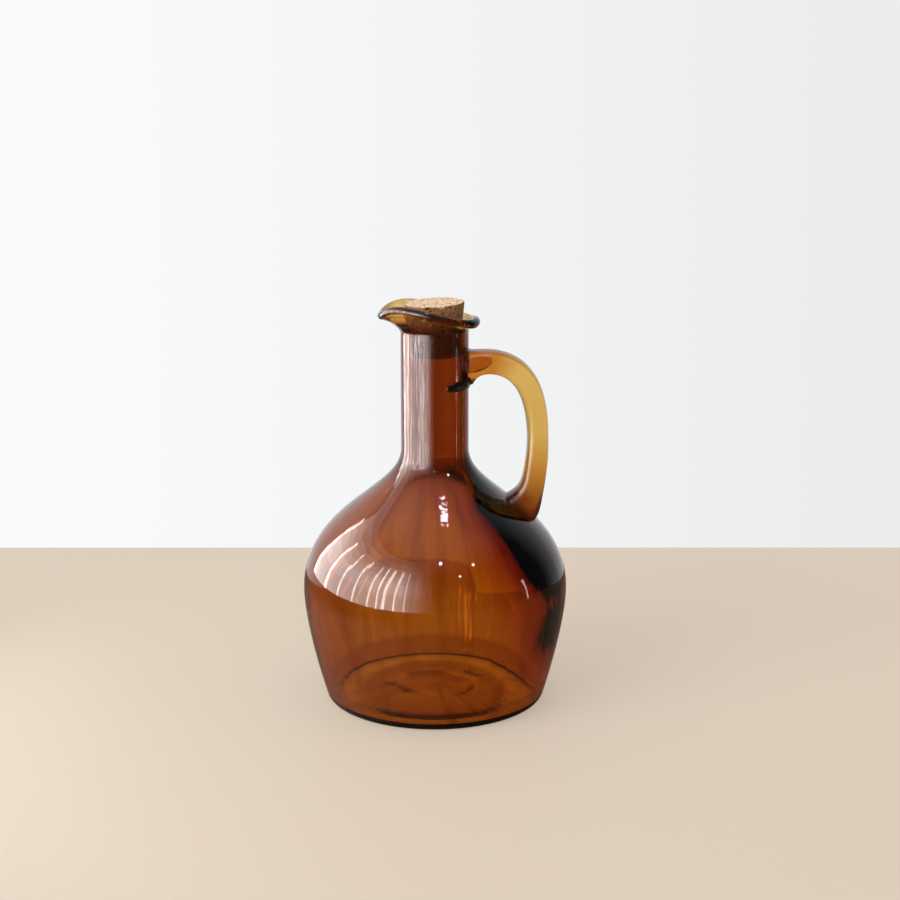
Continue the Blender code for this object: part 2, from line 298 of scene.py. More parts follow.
# One lamp overhead and four small spots, which show as points in the belly.
CEILING = 1.6
ceiling_light("overhead", (0.20, -0.08, CEILING), 0.12, 30.0, (0.95, 0.88, 1.0))
SPOTS = ((0.125, -0.998), (0.947, -0.897), (0.071, -1.649), (0.870, -1.582))
for number, place in enumerate(SPOTS):
    spot = ceiling_light(f"spot_{number}", (*place, CEILING), 0.035, 260.0, (1.0, 0.97, 0.92))
    spot.visible_diffuse = False

# ---------------------------------------------------------------- glass bottle
# One blown vessel of amber glass: pushed-up foot, belly, thick shoulder, neck and a rim that
# was reheated, rolled and pinched into a pouring lip. Blowing leaves the wall uneven and the
# skin faintly ribbed up and down.
_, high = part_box("glass_bottle")
cork_low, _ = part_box("cork_stopper")
BELLY = high.x
FOOT = 0.8349 * BELLY
HEEL = 0.00343
LEAN = math.radians(17.06)
BODY = 0.6405 * high.z
BELLY_LEVEL = 0.4438
SHOULDER = 0.5368 * BELLY
SHOULDER_LEVEL = 0.8100
SLOPE = math.radians(38.50)
NECK = 0.2539 * BELLY
LIP_ROOT = cork_low.z + 0.0128

# How far the outline's curves are pulled along their ends' directions, as shares of the chord.
SIDE_PULLS = (0.254, 0.278)
ROUND_PULLS = (0.440, 0.260)
HOLLOW_PULLS = (0.500, 0.300)

# The wall is uneven: thin at the heel, thick at the shoulder, thickest on the handle's side.
FOOT_RING = 0.0125
KICK = 0.0045
FLOOR_WALL = 0.0036
FOOT_WALL = 0.0024
FLOOR_EDGE = 0.850
INNER_CORNER = 0.0065
BODY_WALL = 0.0042
SHOULDER_EXTRA = 0.0023
RIGHT_SHOULDER_EXTRA = 0.0070
RIGHT_SIDE_EXTRA = 0.0033
LEFT_SIDE_LESS = 0.0004
NECK_WALL = 0.0035
BORE = NECK - NECK_WALL
THROAT = BORE + 0.0005
SHEET = 0.0008

# The rim's roll, its climb towards the spout, the spout's reach and the dip of its tip.
ROLL = 0.0021
ROLL_EXTRA = 0.0005
RIM_SPREAD = 0.0027
RIM_RISE = 0.0029
WING_RISE = 0.0075
SPOUT_REACH = 0.0059
SPOUT_DIP = 0.0046

AROUND = 240


def s_rise(x):
    """The s-shaped step 3x^2 - 2x^3: 0 below x = 0, 1 above x = 1, level at both."""
    x = np.clip(x, 0.0, 1.0)
    return x * x * (3.0 - 2.0 * x)


def curve_through(p0, p1, p2, p3, rows):
    """A cubic curve with four control points, and its unit directions, in rows + 1 steps."""
    p0, p1, p2, p3 = (np.array(p, float) for p in (p0, p1, p2, p3))
    t = np.linspace(0.0, 1.0, rows + 1)[:, None]
    u = 1.0 - t
    points = u**3 * p0 + 3 * u * u * t * p1 + 3 * u * t * t * p2 + t**3 * p3
    slope = u * u * (p1 - p0) + 2 * u * t * (p2 - p1) + t * t * (p3 - p2)
    return points, slope / np.linalg.norm(slope, axis=1)[:, None]


def outline(detail):
    """(radius, height) and direction up the outside: the heel's arc, then three cubic curves
    that meet upright at the belly, at the shoulder's slope, and upright at the neck."""
    centre = np.array([FOOT - HEEL * math.cos(LEAN), HEEL])
    turn = np.linspace(-math.pi / 2, -LEAN, round(10 * detail))
    arc = centre + HEEL * np.stack([np.cos(turn), np.sin(turn)], axis=1)
    arc_dir = np.stack([-np.sin(turn), np.cos(turn)], axis=1)
    foot, up = arc[-1], np.array([0.0, 1.0])
    belly = np.array([BELLY, BODY * BELLY_LEVEL])
    shoulder = np.array([SHOULDER, BODY * SHOULDER_LEVEL])
    neck = np.array([NECK, BODY])
    out = np.array([math.sin(LEAN), math.cos(LEAN)])
    down = np.array([math.cos(SLOPE), -math.sin(SLOPE)])
    a, b, c = (np.linalg.norm(q - p)
               for p, q in ((foot, belly), (belly, shoulder), (shoulder, neck)))
    side = curve_through(foot, foot + SIDE_PULLS[0] * a * out, belly - SIDE_PULLS[1] * a * up,
                         belly, round(44 * detail))
    round_up = curve_through(belly, belly + ROUND_PULLS[0] * b * up,
                             shoulder + ROUND_PULLS[1] * b * down, shoulder, round(44 * detail))
    hollow = curve_through(shoulder, shoulder - HOLLOW_PULLS[0] * c * down,
                           neck - HOLLOW_PULLS[1] * c * up, neck, round(34 * detail))
    straight = curve_through(neck, neck + 0.01 * up, (NECK, LIP_ROOT - 0.012),
                             (NECK, LIP_ROOT - 0.002), round(26 * detail))
    rows = (side, round_up, hollow, straight)
    points = np.vstack([arc] + [r[0][1:] for r in rows])
    directions = np.vstack([arc_dir] + [r[1][1:] for r in rows])
    return points, directions


def wall_at(height):
    """Thickness of the glass where nothing thickens it: body wall below, neck wall above."""
    return BODY_WALL + (NECK_WALL - BODY_WALL) * s_rise((height - 0.092) / 0.032)


def value_noise(points, cell, seed):
    """Smooth random numbers from 0 to 1: random values on a lattice with this cell size, each
    point taking the s-shaped blend of its cell's eight corners."""
    lattice = np.random.default_rng(seed).random((48, 48, 48))
    place = points / cell
    whole = np.floor(place).astype(int)
    part = s_rise(place - whole)
    total = np.zeros(points.shape[:-1])
    for corner in range(8):
        step = np.array([corner & 1, corner >> 1 & 1, corner >> 2 & 1])
        i, j, k = np.moveaxis((whole + step) % 48, -1, 0)
        weight = np.where(step == 1, part, 1.0 - part).prod(axis=-1)
        total += weight * lattice[i, j, k]
    return total


def kick(radius, edge):
    """Height of the pushed-up underside: half a cosine from the centre out to its edge."""
    return KICK * 0.5 * (1.0 + np.cos(math.pi * np.clip(radius / edge, 0.0, 1.0)))


def lip(angles):
    """Rows of (radius, height) for each angle: outside of the flare, rim roll, inside down to
    the throat. The rim's centre climbs in an S towards the spout, runs out and dips there; its
    roll is half as thick along the back."""
    turn = np.abs((angles + math.pi) % (2 * math.pi) - math.pi)
    to_tip = math.pi - turn
    reach = np.exp(-(to_tip / math.radians(46)) ** 2)
    roll = ROLL + ROLL_EXTRA * np.exp(-(turn / math.radians(50)) ** 2)
    roll = roll * (1.0 - 0.5 * s_rise(np.sin(angles) / 0.7))
    rise = WING_RISE * s_rise((turn - math.radians(15)) / math.radians(125))
    dip = SPOUT_DIP * np.exp(-(to_tip / math.radians(24)) ** 2)
    centre = np.stack([NECK + RIM_SPREAD + SPOUT_REACH * reach,
                       LIP_ROOT + RIM_RISE + rise - dip], axis=1)
    middle = np.array([NECK - NECK_WALL / 2, LIP_ROOT])
    span = np.linalg.norm(centre - middle, axis=1)[:, None]
    along = (centre - middle) / span
    under = np.stack([along[:, 1], -along[:, 0]], axis=1)
    roll = roll[:, None]

    def cubic(p0, p1, p2, p3, rows):
        """A cubic curve with four control points at every angle, in rows + 1 steps."""
        t = np.linspace(0.0, 1.0, rows + 1)[:, None, None]
        u = 1.0 - t
        return u**3 * p0 + 3 * u * u * t * p1 + 3 * u * t * t * p2 + t**3 * p3

    start = centre + roll * under
    foot = np.array([NECK, LIP_ROOT - 0.002])
    thin = (roll - SHEET / 2) * under
    flare = cubic(foot, foot + (0.0, 0.0012), start - 0.45 * span * along - 1.3 * thin, start, 16)
    sweep = np.linspace(0.0, math.pi, 18)[:, None, None]
    rim = centre + roll * (np.cos(sweep) * under + np.sin(sweep) * along)
    throat = np.array([THROAT, LIP_ROOT - 0.001])
    stop = centre - roll * under
    inside = cubic(stop, stop - 0.4 * span * along + 1.3 * thin, throat + (0.0, 0.0025), throat, 18)
    return np.concatenate([flare[1:], rim[1:-1], inside], axis=0)


def closed_skin(rings, first, last):
    """Points and faces of a closed skin: a pole, rings of equal length, and a pole."""
    rows, count = rings.shape[:2]
    points = np.vstack([[first], rings.reshape(-1, 3), [last]])
    j = np.arange(count)
    k = (j + 1) % count
    a = 1 + np.arange(rows - 1)[:, None] * count
    quads = np.stack([a + j, a + k, a + count + k, a + count + j], axis=2).reshape(-1, 4)
    top = 1 + (rows - 1) * count
    end = len(points) - 1
    caps = [(0, 1 + n, 1 + m) for m, n in zip(j.tolist(), k.tolist())]
    caps += [(end, top + m, top + n) for m, n in zip(j.tolist(), k.tolist())]
    return points, quads.tolist() + caps


angles = np.arange(AROUND) * 2 * math.pi / AROUND
outer, _ = outline(1.0)
ring_edge = outer[0, 0] - FOOT_RING
under_r = ring_edge * np.linspace(0.04, 1.0, 22)
under = np.stack([under_r, kick(under_r, ring_edge)], axis=1)
ring_rows = np.stack([np.linspace(ring_edge, outer[0, 0], 4)[1:-1], np.zeros(2)], axis=1)

inner_src, inner_dir = outline(0.8)
keep = inner_src[:, 1] > INNER_CORNER
normal = np.stack([inner_dir[:, 1], -inner_dir[:, 0]], axis=1)
inner = (inner_src - normal * wall_at(inner_src[:, 1])[:, None])[keep][::-1]
side_dir = inner_dir[keep][0]
inner = inner[inner[:, 1] < cork_low.z - 0.002]
floor_r = FLOOR_EDGE * outer[0, 0]


def floor_height(r):
    """Height of the inside floor: over the foot ring thin, thicker inside it."""
    return kick(r, ring_edge) + FLOOR_WALL + (FOOT_WALL - FLOOR_WALL) * s_rise((r - 0.031) / 0.011)


floor_edge = np.array([floor_r, floor_height(floor_r)])
size = np.linalg.norm(inner[-1] - floor_edge)
corner, _ = curve_through(inner[-1], inner[-1] - 0.5 * size * side_dir,
                          floor_edge + (0.8 * size, 0.0), floor_edge, 16)
floor_rows = floor_r * np.linspace(0.98, 0.02, 48)
floor = np.stack([floor_rows, floor_height(floor_rows)], axis=1)


def all_round(rows):
    """The same (radius, height) rows at every angle."""
    return np.repeat(rows[:, None, :], AROUND, axis=1)


bore = np.stack([np.linspace(THROAT, BORE, 9)[1:],
                 np.linspace(LIP_ROOT - 0.001, cork_low.z - 0.001, 9)[1:]], axis=1)
outside_rows = len(under) + len(ring_rows) + len(outer)
profile = np.concatenate([all_round(np.vstack([under, ring_rows, outer])), lip(angles),
                          all_round(np.vstack([bore, inner, corner[1:], floor]))], axis=0)
radius, height = profile[:, :, 0], profile[:, :, 1]


def ribs(theta, z, seed, waves, drift):
    """Sum of cosines round the bottle, each drifting slowly with height."""
    rng = np.random.default_rng(seed)
    total = np.zeros(np.broadcast(theta, z).shape)
    for count in waves:
        phase = rng.uniform(0, 2 * math.pi)
        twist = rng.uniform(-drift, drift)
        total += rng.uniform(0.5, 1.0) * np.cos(count * theta + phase + twist * z)
    return total / math.sqrt(len(waves))


RIB_OUTSIDE = 0.000022
RIB_INSIDE = 0.00012
is_outside = np.zeros(radius.shape)
is_outside[:outside_rows] = 1.0
on_body = s_rise((height - 0.008) / 0.02) * (1.0 - s_rise((height - LIP_ROOT + 0.02) / 0.015))
skin = ribs(angles[None, :], height, 3, [17, 23, 29, 37, 44, 53], 25.0)
belly_in = ribs(angles[None, :], height, 8, [2, 3, 5, 7, 9, 12], 30.0)
radius = radius + on_body * is_outside * RIB_OUTSIDE * skin
turn = np.abs((angles + math.pi) % (2 * math.pi) - math.pi)
to_right = np.exp(-(turn / math.radians(42)) ** 2)
inside = 1.0 - is_outside
radius = radius + on_body * inside * RIB_INSIDE * (1.0 - 0.8 * to_right) * belly_in
# Inside, more glass lies round the shoulder and up the handle's side, and a little less on
# the spout's side.
to_left = np.exp(-((math.pi - turn) / math.radians(60)) ** 2)
below_neck = 1.0 - s_rise((height - 0.090) / 0.034)
over_belly = 1.0 - (1.0 - np.clip((height - 0.0655) / 0.0225, 0.0, 1.0)) ** 2
side_band = s_rise((height - 0.008) / 0.029) * below_neck
shoulder_band = s_rise((height - 0.050) / 0.026) * (1.0 - s_rise((height - 0.094) / 0.012))
heavy = (SHOULDER_EXTRA * over_belly * below_neck * (1.0 - 0.85 * to_left)
         + to_right * (RIGHT_SIDE_EXTRA * side_band + RIGHT_SHOULDER_EXTRA * shoulder_band)
         - LEFT_SIDE_LESS * to_left * side_band)
radius = radius - inside * heavy

# The gather's last drop left an uneven island of thicker glass in the middle of the floor.
ISLAND = 0.0006
SWIRL = 0.0007
place = np.stack([radius * np.cos(angles), radius * np.sin(angles), 0.0 * radius], axis=2)
on_floor = np.zeros(radius.shape)
on_floor[-len(floor):] = 1.0
shore = (0.017 + 0.003 * np.cos(3 * angles + 1.1)
         + 0.016 * (value_noise(place, 0.012, 9) - 0.5))
island = 1.0 - s_rise((radius - shore) / 0.0050)
swirl = (value_noise(place, 0.0090, 6) - 0.5) * s_rise(radius / 0.008)
height = height + on_floor * (ISLAND * island + SWIRL * swirl * s_rise((0.036 - radius) / 0.012))
rings = np.stack([radius * np.cos(angles), radius * np.sin(angles), height], axis=2)
points, faces = closed_skin(rings, (0, 0, KICK), (0, 0, rings[-1, :, 2].mean()))
bottle = mesh_object("amber_bottle", points, faces)

# Painted shade: in front the rolled rim is much darker than the thin lip, for the dim room seen in
# it.
rim_shade_rows = np.zeros(len(radius))
rim_shade_rows[outside_rows + 13:outside_rows + 16] = (0.1, 0.3, 0.7)
rim_shade_rows[outside_rows + 16:outside_rows + 32] = 1.0
rim_shade_rows[outside_rows + 32:outside_rows + 34] = (0.6, 0.2)
shade_to_front = s_rise(0.75 - np.sin(angles)) * (1.0 - 0.6 * np.clip(np.cos(angles), 0.0, 1.0))
rim = bottle.data.attributes.new("rim", "FLOAT", "POINT")
rim_shade_shares = np.concatenate([[0.0], np.outer(rim_shade_rows, shade_to_front).ravel(), [0.0]])
rim.data.foreach_set("value", rim_shade_shares.astype(np.float32))


def blown_skin_group():
    """Skin of blown glass. Height, in millimetres, is noise stretched upright and wound round
    the axis, plus slow ripple, less round dimples where a seed lies near the surface. Tint is
    white, a little darker along some of the upright streaks."""
    group = bpy.data.node_groups.new("blown_skin", "ShaderNodeTree")
    for name in ("Streaks", "Ripple", "Seeds", "Shade"):
        group.interface.new_socket(name, in_out="INPUT", socket_type="NodeSocketFloat")
    group.interface.new_socket("Height", in_out="OUTPUT", socket_type="NodeSocketFloat")
    group.interface.new_socket("Tint", in_out="OUTPUT", socket_type="NodeSocketColor")
    nodes = group.nodes
    link = group.links.new
    given = nodes.new("NodeGroupInput")
    result = nodes.new("NodeGroupOutput")

    def math_node(operation, a, b):
        """One sum of two values, each a plain number or a socket."""
        node = nodes.new("ShaderNodeMath")
        node.operation = operation
        for socket, value in zip(node.inputs, (a, b)):
            if isinstance(value, float):
                socket.default_value = value
            else:
                link(value, socket)
        return node.outputs[0]

    place = nodes.new("ShaderNodeTexCoord").outputs["Object"]
    split = nodes.new("ShaderNodeSeparateXYZ")
    link(place, split.inputs[0])
    flat = nodes.new("ShaderNodeCombineXYZ")
    link(split.outputs["X"], flat.inputs["X"])
    link(split.outputs["Y"], flat.inputs["Y"])
    wound = nodes.new("ShaderNodeVectorMath")
    wound.operation = "NORMALIZE"
    link(flat.outputs[0], wound.inputs[0])
    around = nodes.new("ShaderNodeSeparateXYZ")
    link(wound.outputs["Vector"], around.inputs[0])

    def stretched_noise(turns, rise, detail):
        """Noise read at the unit direction round the axis times turns, and at the height times
        rise, so that it runs upright."""
        joined = nodes.new("ShaderNodeCombineXYZ")
        link(math_node("MULTIPLY", around.outputs["X"], turns), joined.inputs["X"])
        link(math_node("MULTIPLY", around.outputs["Y"], turns), joined.inputs["Y"])
        link(math_node("MULTIPLY", split.outputs["Z"], rise), joined.inputs["Z"])
        noise = nodes.new("ShaderNodeTexNoise")
        noise.inputs["Scale"].default_value = 1.0
        noise.inputs["Detail"].default_value = detail
        link(joined.outputs[0], noise.inputs["Vector"])
        return noise.outputs["Fac"]

    streak = stretched_noise(11.0, 16.0, 2.0)
    shade = stretched_noise(4.5, 16.0, 2.0)
    ripple = nodes.new("ShaderNodeTexNoise")
    ripple.inputs["Scale"].default_value = 48.0
    ripple.inputs["Detail"].default_value = 1.0
    link(place, ripple.inputs["Vector"])
    seed = nodes.new("ShaderNodeTexVoronoi")
    seed.inputs["Scale"].default_value = 120.0
    link(place, seed.inputs["Vector"])
    dimple = nodes.new("ShaderNodeMapRange")
    dimple.interpolation_type = "SMOOTHSTEP"
    dimple.inputs["From Min"].default_value = 0.065
    dimple.inputs["From Max"].default_value = 0.0
    link(seed.outputs["Distance"], dimple.inputs["Value"])
    total = math_node("MULTIPLY", streak, given.outputs["Streaks"])
    waves = math_node("MULTIPLY", ripple.outputs["Fac"], given.outputs["Ripple"])
    dents = math_node("MULTIPLY", dimple.outputs["Result"], given.outputs["Seeds"])
    total = math_node("ADD", total, waves)
    total = math_node("SUBTRACT", total, dents)
    link(total, result.inputs["Height"])
    dark = nodes.new("ShaderNodeMapRange")
    dark.inputs["From Min"].default_value = 0.50
    dark.inputs["From Max"].default_value = 0.68
    link(shade, dark.inputs["Value"])
    tint = nodes.new("ShaderNodeMix")
    tint.data_type = "RGBA"
    tint.inputs["A"].default_value = (1.0, 1.0, 1.0, 1.0)
    tint.inputs["B"].default_value = (0.70, 0.55, 0.35, 1.0)
    link(math_node("MULTIPLY", dark.outputs["Result"], given.outputs["Shade"]),
         tint.inputs["Factor"])
    link(tint.outputs["Result"], result.inputs["Tint"])
    return group


BLOWN_SKIN = blown_skin_group()


def add_skin(nodes, link, shader, streaks, ripple, seeds, shade):
    """The blown skin's bump on this shader; gives back its tint and its bump node. The
    streaks' depth is a number or a socket."""
    skin = nodes.new("ShaderNodeGroup")
    skin.node_tree = BLOWN_SKIN
    for name, value in (("Ripple", ripple), ("Seeds", seeds), ("Shade", shade)):
        skin.inputs[name].default_value = value
    if isinstance(streaks, float):
        skin.inputs["Streaks"].default_value = streaks
    else:
        link(streaks, skin.inputs["Streaks"])
    bump = nodes.new("ShaderNodeBump")
    bump.inputs["Strength"].default_value = 1.0
    bump.inputs["Distance"].default_value = 0.001
    link(skin.outputs["Height"], bump.inputs["Height"])
    link(bump.outputs["Normal"], shader.inputs["Normal"])
    return skin.outputs["Tint"], bump


def multiply_colors(nodes, link, a, b):
    """Two colour sockets multiplied, for glass whose tints lie one over the other."""
    mix = nodes.new("ShaderNodeMix")
    mix.data_type = "RGBA"
    mix.blend_type = "MULTIPLY"
    mix.inputs["Factor"].default_value = 1.0
    link(a, mix.inputs["A"])
    link(b, mix.inputs["B"])
    return mix.outputs["Result"]


def object_height(nodes, link, foot, head):
    """0 below the foot height, 1 above the head height, smooth between them."""
    split = nodes.new("ShaderNodeSeparateXYZ")
    link(nodes.new("ShaderNodeTexCoord").outputs["Object"], split.inputs[0])
    climb = nodes.new("ShaderNodeMapRange")
    climb.interpolation_type = "SMOOTHSTEP"
    climb.inputs["From Min"].default_value = foot
    climb.inputs["From Max"].default_value = head
    link(split.outputs["Z"], climb.inputs["Value"])
    return climb.outputs["Result"]


GLASS_IOR = 1.5
AMBER = (0.864, 0.646, 0.020, 1.0)
AMBER_DEPTH = 714.0
NECK_TINT = (0.620, 0.385, 0.150, 1.0)
# The rim tint below is painted shade on the front of the rim, not the glass's own colour.
RIM_PAINTED_SHADE = (0.100, 0.100, 0.140, 1.0)
FLOOR_REACH = 0.05
FLOOR_BANDS = ((0.36, (0.92, 0.88, 0.85, 1.0)), (0.50, (0.72, 0.58, 0.45, 1.0)),
               (0.66, (0.70, 0.56, 0.42, 1.0)), (0.72, (1.0, 1.0, 1.0, 1.0)),
               (0.90, (1.0, 1.0, 1.0, 1.0)), (0.95, (0.75, 0.62, 0.50, 1.0)))
BODY_STREAKS = 0.060
NECK_STREAKS = 0.110
PATCH_PLACE = (0.005, -0.032, 0.1015)
PATCH_SIZE = 0.012
PATCH_DEPTH = 0.00010

material, nodes, link, output = new_material("amber_glass")
shader = nodes.new("ShaderNodeBsdfPrincipled")
shader.inputs["Roughness"].default_value = 0.0
shader.inputs["IOR"].default_value = GLASS_IOR
shader.inputs["Transmission Weight"].default_value = 1.0
drawn = nodes.new("ShaderNodeMapRange")
drawn.inputs["To Min"].default_value = BODY_STREAKS
drawn.inputs["To Max"].default_value = NECK_STREAKS
link(object_height(nodes, link, 0.098, 0.112), drawn.inputs["Value"])
tint, skin_bump = add_skin(nodes, link, shader, drawn.outputs["Result"], 0.09, 0.03, 0.80)
# A patch high on the front of the shoulder is finely pitted where the glass chilled on a tool.
from_patch = nodes.new("ShaderNodeVectorMath")
from_patch.operation = "DISTANCE"
link(nodes.new("ShaderNodeTexCoord").outputs["Object"], from_patch.inputs[0])
from_patch.inputs[1].default_value = PATCH_PLACE
patch = nodes.new("ShaderNodeMapRange")
patch.interpolation_type = "SMOOTHSTEP"
patch.inputs["From Min"].default_value = PATCH_SIZE
patch.inputs["From Max"].default_value = 0.3 * PATCH_SIZE
link(from_patch.outputs["Value"], patch.inputs["Value"])
speckle = nodes.new("ShaderNodeTexNoise")
speckle.inputs["Scale"].default_value = 420.0
speckle.inputs["Detail"].default_value = 0.0
link(nodes.new("ShaderNodeTexCoord").outputs["Object"], speckle.inputs["Vector"])
pitted = nodes.new("ShaderNodeMath")
pitted.operation = "MULTIPLY"
link(speckle.outputs["Fac"], pitted.inputs[0])
link(patch.outputs["Result"], pitted.inputs[1])
pit_bump = nodes.new("ShaderNodeBump")
pit_bump.inputs["Strength"].default_value = 1.0
pit_bump.inputs["Distance"].default_value = PATCH_DEPTH
link(pitted.outputs[0], pit_bump.inputs["Height"])
link(pit_bump.outputs["Normal"], skin_bump.inputs["Normal"])
# Up the straight neck the glass is deeper, and the thin lip is pale again.
neck_tint = nodes.new("ShaderNodeMix")
neck_tint.data_type = "RGBA"
neck_tint.inputs["A"].default_value = (1.0, 1.0, 1.0, 1.0)
neck_tint.inputs["B"].default_value = NECK_TINT
up_neck = nodes.new("ShaderNodeMath")
up_neck.operation = "SUBTRACT"
link(object_height(nodes, link, 0.100, 0.120), up_neck.inputs[0])
link(object_height(nodes, link, LIP_ROOT - 0.002, LIP_ROOT + 0.004), up_neck.inputs[1])
link(up_neck.outputs[0], neck_tint.inputs["Factor"])
# Inside the foot ring the floor is a deeper amber disc, with a paler band around it.
split = nodes.new("ShaderNodeSeparateXYZ")
link(nodes.new("ShaderNodeTexCoord").outputs["Object"], split.inputs[0])
flat = nodes.new("ShaderNodeCombineXYZ")
link(split.outputs["X"], flat.inputs["X"])
link(split.outputs["Y"], flat.inputs["Y"])
from_axis = nodes.new("ShaderNodeVectorMath")
from_axis.operation = "LENGTH"
link(flat.outputs[0], from_axis.inputs[0])
disc = nodes.new("ShaderNodeValToRGB")
disc.color_ramp.elements[0].position = 0.0
disc.color_ramp.elements[0].color = (0.95, 0.92, 0.90, 1.0)
disc.color_ramp.elements[1].position = 1.0
disc.color_ramp.elements[1].color = (0.75, 0.62, 0.50, 1.0)
for position, color in FLOOR_BANDS:
    disc.color_ramp.elements.new(position).color = color
out_share = nodes.new("ShaderNodeMath")
out_share.operation = "MULTIPLY"
out_share.inputs[1].default_value = 1.0 / FLOOR_REACH
link(from_axis.outputs["Value"], out_share.inputs[0])
link(out_share.outputs[0], disc.inputs["Fac"])
floor_tint = nodes.new("ShaderNodeMix")
floor_tint.data_type = "RGBA"
floor_tint.inputs["B"].default_value = (1.0, 1.0, 1.0, 1.0)
link(disc.outputs["Color"], floor_tint.inputs["A"])
link(object_height(nodes, link, 0.0092, 0.0110), floor_tint.inputs["Factor"])
tint = multiply_colors(nodes, link, tint, floor_tint.outputs["Result"])
# The rim attribute places the painted shade on the front of the rolled rim.
rim_shade_place = nodes.new("ShaderNodeAttribute")
rim_shade_place.attribute_name = "rim"
rim_shade_tint = nodes.new("ShaderNodeMix")
rim_shade_tint.data_type = "RGBA"
rim_shade_tint.inputs["A"].default_value = (1.0, 1.0, 1.0, 1.0)
rim_shade_tint.inputs["B"].default_value = RIM_PAINTED_SHADE
link(rim_shade_place.outputs["Fac"], rim_shade_tint.inputs["Factor"])
body_tint = multiply_colors(nodes, link, tint, neck_tint.outputs["Result"])
link(multiply_colors(nodes, link, body_tint, rim_shade_tint.outputs["Result"]),
     shader.inputs["Base Color"])
absorb = nodes.new("ShaderNodeVolumeAbsorption")
absorb.inputs["Color"].default_value = AMBER
absorb.inputs["Density"].default_value = AMBER_DEPTH
link(shader.outputs["BSDF"], output.inputs["Surface"])
link(absorb.outputs["Volume"], output.inputs["Volume"])
bottle.data.materials.append(material)
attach(bottle, "bottle")
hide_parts("glass_bottle")

# ---------------------------------------------------------------- handle
# A gather of lighter honey glass, stuck to the neck under the lip, pulled out, bent down and
# stuck to the shoulder while soft. Its faces are flattened, and it spreads where it holds.
_, handle_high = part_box("handle")
HALF_THICK = 0.0053
HALF_WIDE = 0.0066
THICKNESS = ([0, 0.35, 0.62, 0.85, 1], [1.06, 1.04, 0.965, 1.07, 1.12])
WIDTH = ([0, 0.35, 0.62, 1], [1.0, 0.96, 0.98, 1.08])
FLATNESS = 0.62
REACH = handle_high.x - HALF_THICK
FOOT_LEVEL = 0.752
HANDLE_TOP = LIP_ROOT - 0.0170
BEND = LIP_ROOT - 0.0542
LEAVE = math.radians(11.4)
ARRIVE = math.radians(28.5)
UPRIGHT = np.array([0, 0, 1.0])


def radius_at(z):
    """The bottle's outside radius at a height, read off its outline."""
    return float(np.interp(z, outer[:, 1], outer[:, 0]))


top = np.array([NECK - 0.0008, HANDLE_TOP])
rise = np.array([math.cos(LEAVE), math.sin(LEAVE)])
bend = np.array([REACH, BEND])
foot = np.array([radius_at(BODY * FOOT_LEVEL), BODY * FOOT_LEVEL])
sink = -np.array([math.sin(ARRIVE), math.cos(ARRIVE)])
drop, climb = bend[1] - foot[1], top[1] - bend[1]
arch, arch_dir = curve_through(top, top + 0.67 * climb * rise, bend + (0.0, 0.73 * climb),
                               bend, 90)
leg, leg_dir = curve_through(bend, bend - (0.0, 0.41 * drop), foot - 0.16 * drop * sink,
                             foot, 60)
lead = top - np.linspace(0.0006, 0.0001, 4)[:, None] * rise
tail = foot + np.linspace(0.0002, 0.0022, 6)[:, None] * sink
line = np.vstack([lead, arch, leg[1:], tail])
dirs = np.vstack([np.tile(rise, (4, 1)), arch_dir, leg_dir[1:], np.tile(sink, (6, 1))])
travel = np.concatenate([[0.0], np.cumsum(np.linalg.norm(np.diff(line, axis=0), axis=1))])
first, last = travel[4], travel[-7]
share = (travel - first) / (last - first)
half = HALF_THICK * np.interp(share, *THICKNESS)
wide = HALF_WIDE * np.interp(share, *WIDTH)
# Each end spreads into a pad where it was pressed on, most of all on the inner side.
from_neck = np.maximum(travel - first - 0.0010, 0.0)
to_shoulder = np.maximum(last - travel, 0.0)
near_foot = np.exp(-(to_shoulder / 0.0075) ** 2)
out = half + 0.0016 * np.exp(-from_neck / 0.0015) + 0.0008 * near_foot
inn = half + 0.0045 * np.exp(-from_neck / 0.0034) + 0.0068 * near_foot
wide = wide + 0.0004 * np.exp(-from_neck / 0.0030) + 0.0010 * near_foot

turn = np.arange(64) * 2 * math.pi / 64
c = np.sign(np.cos(turn)) * np.abs(np.cos(turn)) ** FLATNESS
s = np.sign(np.sin(turn)) * np.abs(np.sin(turn)) ** FLATNESS
across = np.where(c[None, :] > 0, out[:, None], inn[:, None]) * c
side = wide[:, None] * s
norm = np.stack([-dirs[:, 1], dirs[:, 0]], axis=1)
rings = np.stack([line[:, :1] + norm[:, :1] * across, side,
                  line[:, 1:] + norm[:, 1:] * across], axis=2)
handle_points, handle_faces = closed_skin(rings[:, ::-1], (line[0, 0], 0, line[0, 1]),
                                          (line[-1, 0], 0, line[-1, 1]))


def smear(middle, outward, upward, thick, tall, blunt):
    """A closed drop of glass along a line: ellipse rings, thick by tall, shrunk towards both
    ends by the root of 1 - |place|^blunt, so a higher blunt gives squarer ends."""
    place = np.linspace(-1.0, 1.0, len(middle) + 2)[1:-1, None, None]
    close = np.sqrt(1.0 - np.abs(place) ** blunt)
    spin = np.arange(32) * 2 * math.pi / 32
    ring = (thick * np.cos(spin)[None, :, None] * outward[:, None, :]
            + tall[:, None, None] * np.sin(spin)[None, :, None] * upward)
    return closed_skin(middle[:, None, :] + close * ring, middle[0], middle[-1])


